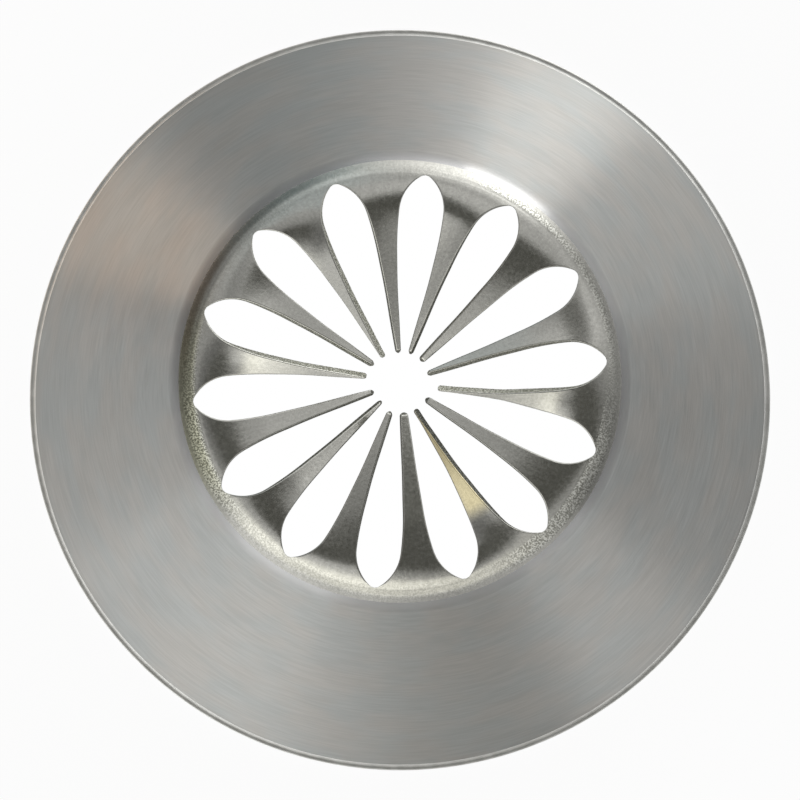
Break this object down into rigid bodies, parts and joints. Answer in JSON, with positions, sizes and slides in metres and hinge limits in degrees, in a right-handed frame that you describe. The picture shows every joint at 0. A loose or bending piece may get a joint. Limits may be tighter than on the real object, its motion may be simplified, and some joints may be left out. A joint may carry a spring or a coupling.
{
  "type": "piping nozzle",
  "caption": "Stainless sheet piping nozzle: a tall plain cone with a turned-out base lip and a closed crown cut into a ring of narrow teeth around a small central hole.",
  "frame": {"origin": "centre of the circle that the base lip stands on, on the resting plane", "axes": "+Z along the nozzle's axis, from the wide base up to the toothed tip; +X and +Y square to it, with the first petal slot 5.7 degrees round from +X"},
  "size_m": [0.0344, 0.0344, 0.052],
  "materials": {
    "brushed_cone": "stainless steel, turned finish with fine rings round the axis",
    "crown_steel": "stainless steel, pressed and tumbled, slightly warm, with stretch marks at the bend"
  },
  "bodies": {
    "root": {"base_lip": "brushed_cone", "cone_wall": "brushed_cone", "crown_ring": "crown_steel", "tooth_01": "crown_steel", "tooth_02": "crown_steel", "tooth_03": "crown_steel", "tooth_04": "crown_steel", "tooth_05": "crown_steel", "tooth_06": "crown_steel", "tooth_07": "crown_steel", "tooth_08": "crown_steel", "tooth_09": "crown_steel", "tooth_10": "crown_steel", "tooth_11": "crown_steel", "tooth_12": "crown_steel", "tooth_13": "crown_steel", "tooth_14": "crown_steel"}
  },
  "joints": []
}
